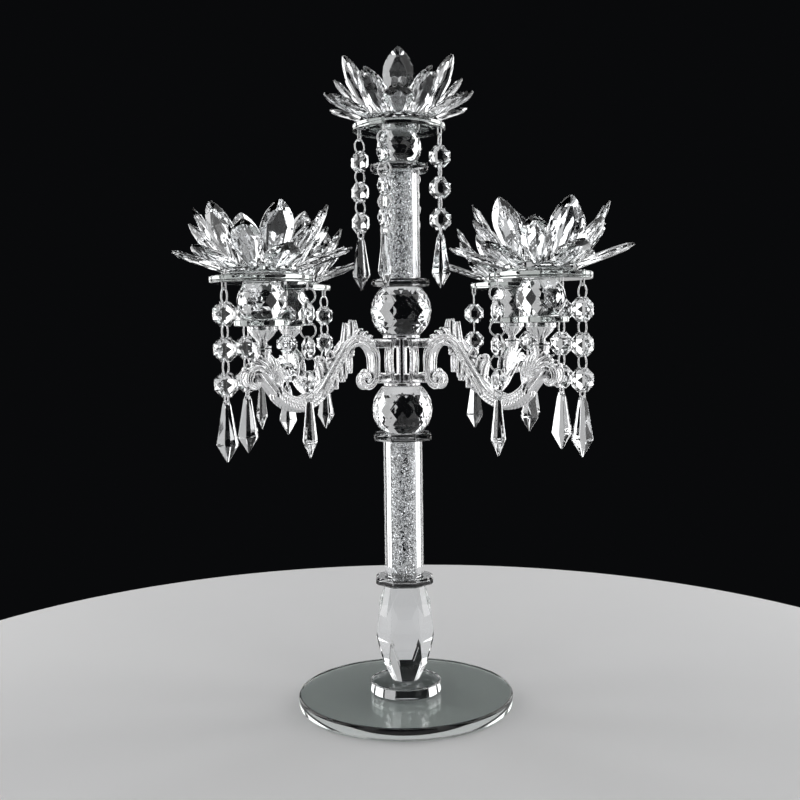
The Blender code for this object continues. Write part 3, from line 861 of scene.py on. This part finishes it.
def end_shell():
    """The acanthus fan over the arm's end, with the scroll that closes it."""
    outline = [(107.5, 222.0), (121.0, 229.5)]
    for direction in (175.0, 145.0, 118.0, 90.0, 62.0, 35.0, 10.0):
        angle = math.radians(direction)
        outline.append((FAN_MIDDLE[0] + 9.6 * math.cos(angle), FAN_MIDDLE[1] + 10.2 * math.sin(angle)))
    parts = [leaf_body(outline, 6.4, 3.6)]
    for step in range(9):
        angle = math.radians(172.0 - 20.5 * step)
        tip = (FAN_MIDDLE[0] + 11.0 * math.cos(angle), FAN_MIDDLE[1] + 11.4 * math.sin(angle))
        root = (105.5 + 1.1 * step, 219.0 + 0.75 * step)
        bow = (root[0] + (tip[0] - root[0]) * 0.30 - 2.2, root[1] + (tip[1] - root[1]) * 0.72 + 1.0)
        both_sides(parts, root, bow, tip, 2.9, 1.5, 0.6)
    parts.append(ball_of(Vector((123.3, 0.0, 224.0)), (1.9, 4.2, 1.9)))
    parts.append(domed((129.6, 0.0, 231.0), 1.5, 1.6))
    parts.append(domed((128.4, 0.0, 219.2), 1.4, 1.6))
    return parts


def cast_arm():
    """One casting, modelled along +X from the column's axis at its real height."""
    path = arm_path()
    parts = [ribbed_strap(path, ARM_SIZES)]
    parts += rims(path, ARM_SIZES)
    parts += scroll_end() + horn_leaf() + hanging_leaves() + valley_scales() + end_shell()
    boss = turned([(4.0, 236.7), (4.6, 239.4), (5.2, 241.0), (5.2, 242.6)], 32)
    parts.append(moved(boss, Matrix.Translation((ARM_REACH, 0.0, 0.0))))
    for reach, low, high in TABS:
        parts.append(hull([(x, y, z) for x in (TAB_START, reach)
                           for y in (-TAB_HALF_WIDTH, TAB_HALF_WIDTH) for z in (low, high)]))
    bow = arc(BOW_MIDDLE, BOW_RADIUS, -BOW_HALF_ANGLE, BOW_HALF_ANGLE, 30)
    parts.append(ribbed_strap(bow, BOW_SIZES))
    parts += rims(bow, BOW_SIZES)

    def add(holder):
        cast = holder.modifiers.new("cast", "REMESH")
        cast.mode = "VOXEL"
        cast.voxel_size = 0.36
        soft = holder.modifiers.new("soft", "SMOOTH")
        soft.factor = 0.35
        soft.iterations = 2
        fewer = holder.modifiers.new("fewer", "DECIMATE")
        fewer.ratio = 0.45
    return shaped_by(joined(parts), add)


# ---------------------------------------------------------------- the column

def thickness(node):
    """The height of a CAD node in millimetres."""
    low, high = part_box(node)
    return (high.z - low.z) / MM


def build_tube(part, seed):
    """One glass tube and the broken crystal in it."""
    height = thickness(part + "_tube")
    outer, bore = TUBE_RADIUS, TUBE_BORE_RADIUS
    wall = turned([(bore, 0.0), (outer - TUBE_CHAMFER, 0.0), (outer, TUBE_CHAMFER),
                   (outer, height - TUBE_CHAMFER), (outer - TUBE_CHAMFER, height), (bore, height)],
                  192, bored=True)
    stand_in(part + "_tube", "glass", finished(wall, CRYSTAL, 30))
    fill = shards(height, FILL_RADIUS, round(height * SHARDS_PER_MM), seed)
    stand_in(part + "_chips", "stones", finished(fill, CHIPS))


def build_column():
    plate = finished(rounded_disc(*BASE_PLATE, 192), FLOAT_GLASS, 30)
    stand_in("base_plate", "glass", plate)
    stand_in("foot_disc", "glass", finished(rounded_disc(*FOOT_DISC, 96), CRYSTAL, 30))
    stand_in("baluster", "stone", finished(baluster(), CRYSTAL))
    ring = finished(collar(), CRYSTAL)
    for node in ("foot_collar", "lower_collar", "mid_collar", "top_collar"):
        stand_in(node, "stone", ring)
    build_tube("lower", FIRST_SEED)
    build_tube("upper", FIRST_SEED + 1)
    for node, size in (("lower_ball", BIG_BALL), ("upper_ball", BIG_BALL), ("ball_top", SMALL_BALL)):
        stand_in(node, "stone", finished(faceted_ball(*size, thickness(node)), CRYSTAL))
    for node in ("hub_bottom_plate", "hub_top_plate"):
        stand_in(node, "metal", finished(rounded_disc(*HUB_PLATE, 64), SILVER, 30))
    post = turned([(HUB_TUBE_BORE_RADIUS, 0.0), (HUB_TUBE_RADIUS, 0.0),
                   (HUB_TUBE_RADIUS, HUB_TUBE_HEIGHT), (HUB_TUBE_BORE_RADIUS, HUB_TUBE_HEIGHT)],
                  48, bored=True)
    stand_in("hub_tube", "metal", finished(post, SILVER, 30))


# ---------------------------------------------------------------- holders and strings

def drip_plate(strings, underside):
    """The glass plate, drilled for both legs of each string's pin."""
    holes = []
    for joint in strings:
        at = (Vector(joint["pos_m"]) - underside) / MM
        facing = math.atan2(joint["axis"][1], joint["axis"][0])
        for side in (-1, 1):
            across = Vector((math.sin(facing), -math.cos(facing), 0.0)) * (side * PIN_HALF_WIDTH)
            below = Vector((at.x, at.y, -2.0)) + across
            above = below + Vector((0.0, 0.0, 9.0))
            holes.append(bore_along(below, above, PIN_WIRE + 2 * PIN_CLEARANCE))
    return drilled(rounded_disc(*DRIP_PLATE, 144), joined(holes))


def build_holders():
    """On each of the five plates: the lotus, and the strings that hang on their pins."""
    lotus_petals = finished(petals(), CRYSTAL)
    foot = finished(lotus_foot(), CRYSTAL, 30)
    stones = finished(string_stones(), CRYSTAL)
    rings = finished(string_rings(), SILVER, 60)
    plate_thickness = DRIP_PLATE[1]
    pin = finished(hairpin(plate_thickness + HINGE_DEPTH), SILVER, 60)
    for plate in PLATES:
        node = "bobeche_" + plate
        strings = [joint for joint in frame["joints"] if joint["child"].startswith("string_" + plate)]
        middle = centre_of("lotus_" + plate)
        plate_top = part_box(node)[1].z
        underside = Vector((middle.x, middle.y, plate_top - plate_thickness * MM))
        disc = finished(drip_plate(strings, underside), FLOAT_GLASS, 30)
        place(node + "_glass", disc, "root", underside, replaces=[node])
        turn = LOTUS_TURNS[plate]
        stand_in("lotus_" + plate, "foot", foot, turn)
        stand_in("lotus_" + plate, "petals", lotus_petals, turn)
        for joint in strings:
            name, at = joint["child"], Vector(joint["pos_m"])
            facing = math.degrees(math.atan2(joint["axis"][0], -joint["axis"][1]))
            place(name + "_stones", stones, name, at, facing, [name])
            place(name + "_rings", rings, name, at, facing, [name])
            place(name + "_pin", pin, "root", at, facing)


# ---------------------------------------------------------------- arms and what stands on them

# Radius and height, from the foot over the neck and the fluted bell to the rim
VASE_PROFILE = (
    (4.6, 0.0), (5.2, 0.25), (5.3, 0.7), (5.2, 1.15), (4.6, 1.4),
    (3.2, 1.9), (2.7, 2.6), (2.8, 3.6),
    (3.6, 4.6), (4.2, 5.1), (4.8, 5.7), (5.5, 6.4), (6.4, 7.2), (7.0, 8.0), (7.5, 8.8), (8.0, 9.6),
    (8.9, 10.4), (9.0, 11.0), (8.7, 11.5), (8.8, 12.0), (9.0, 12.4), (9.0, 12.7),
)
FLUTES, FLUTES_LOW, FLUTES_HIGH, FLUTE_DEPTH = 8, 4.0, 10.2, 0.30


def fluted_vase():
    """The turned vase, with grooves pressed into its bell."""
    mesh = turned(VASE_PROFILE, 128)
    for vertex in mesh.vertices:
        share = (vertex.co.z - FLUTES_LOW) / (FLUTES_HIGH - FLUTES_LOW)
        if 0.0 < share < 1.0:
            angle = math.atan2(vertex.co.y, vertex.co.x)
            groove = 1.0 - abs(math.cos(angle * FLUTES / 2)) ** 0.6
            inwards = 1.0 - FLUTE_DEPTH * math.sin(math.pi * share) * groove
            vertex.co.x *= inwards
            vertex.co.y *= inwards
    return mesh


def build_arm_stacks():
    ball = finished(faceted_ball(*SMALL_BALL, ARM_BALL_HEIGHT), CRYSTAL)
    saucer = finished(rounded_disc(*SAUCER, 96), FLOAT_GLASS, 30)
    vase = finished(fluted_vase(), SILVER, 50)
    arm = finished(cast_arm(), SILVER, 60)
    for side in SIDES:
        # The casting is modelled along +X, which is azimuth 90
        turn = ARM_AZIMUTHS[side] - 90.0
        stand_in("vase_" + side, "metal", vase)
        stand_in("saucer_" + side, "glass", saucer)
        stand_in("ball_" + side, "stone", ball, turn)
        place("arm_%s_casting" % side, arm, "root", Vector((0.0, 0.0, 0.0)), turn,
              ["arm_" + side])


# ---------------------------------------------------------------- stage, light and camera

def soft_box(name, at, aim, width, height, power):
    """A lit rectangle that looks at a point; sizes in metres, power in watts."""
    lamp = bpy.data.lights.new(name, "AREA")
    lamp.shape = "RECTANGLE"
    lamp.size, lamp.size_y, lamp.energy = width, height, power
    holder = bpy.data.objects.new(name, lamp)
    bpy.context.collection.objects.link(holder)
    away = Vector(at) - Vector(aim)
    holder.matrix_world = Matrix.Translation(at) @ away.to_track_quat("Z", "Y").to_matrix().to_4x4()


def build_floor():
    """A round table top, its upper face a hair under the object."""
    mesh = turned([(FLOOR_RADIUS, -FLOOR_THICKNESS), (FLOOR_RADIUS, -1.0), (FLOOR_RADIUS - 1.0, 0.0)], 128)
    floor = bpy.data.objects.new("floor", finished(mesh, floor_material(), 30))
    bpy.context.collection.objects.link(floor)
    floor.location.z = -FLOOR_GAP


def build_world():
    world = bpy.data.worlds.new("studio")
    world.use_nodes = True
    backdrop = world.node_tree.nodes["Background"]
    backdrop.inputs["Color"].default_value = BACKDROP
    backdrop.inputs["Strength"].default_value = 1.0
    bpy.context.scene.world = world
    bpy.context.scene.view_settings.view_transform = "Standard"


def build_lights():
    """Tall boxes at the sides draw bright edges on the crystal and leave its middle dark."""
    middle = (0.0, 0.0, BOX_MIDDLE)
    for azimuth, power in SIDE_BOXES:
        for side in (-1, 1):
            angle = math.radians(side * azimuth)
            at = (BOX_DISTANCE * math.sin(angle), BOX_DISTANCE * math.cos(angle), BOX_MIDDLE)
            soft_box("side_box_%d" % (side * azimuth), at, middle, BOX_WIDTH, BOX_HEIGHT, power)
    soft_box("back_box", BACK_BOX_AT, middle, BACK_BOX_WIDTH, BOX_HEIGHT, BACK_BOX_POWER)
    soft_box("top_box", (0.0, 0.0, TOP_BOX_HEIGHT), (0.0, 0.0, TOP_BOX_AIM), TOP_BOX_SIZE, TOP_BOX_SIZE,
             TOP_BOX_POWER)


def build_camera():
    camera = bpy.data.objects.new("camera", bpy.data.cameras.new("camera"))
    bpy.context.collection.objects.link(camera)
    camera.data.sensor_width = SENSOR
    camera.data.lens = LENS
    camera.matrix_world = (Matrix.Translation(CAMERA_AT)
                           @ Matrix.Rotation(math.radians(CAMERA_TILT), 4, "X")
                           @ Matrix.Rotation(math.radians(CAMERA_ROLL), 4, "Z"))
    bpy.context.scene.camera = camera


build_column()
build_holders()
build_arm_stacks()
build_floor()
build_world()
build_lights()
build_camera()
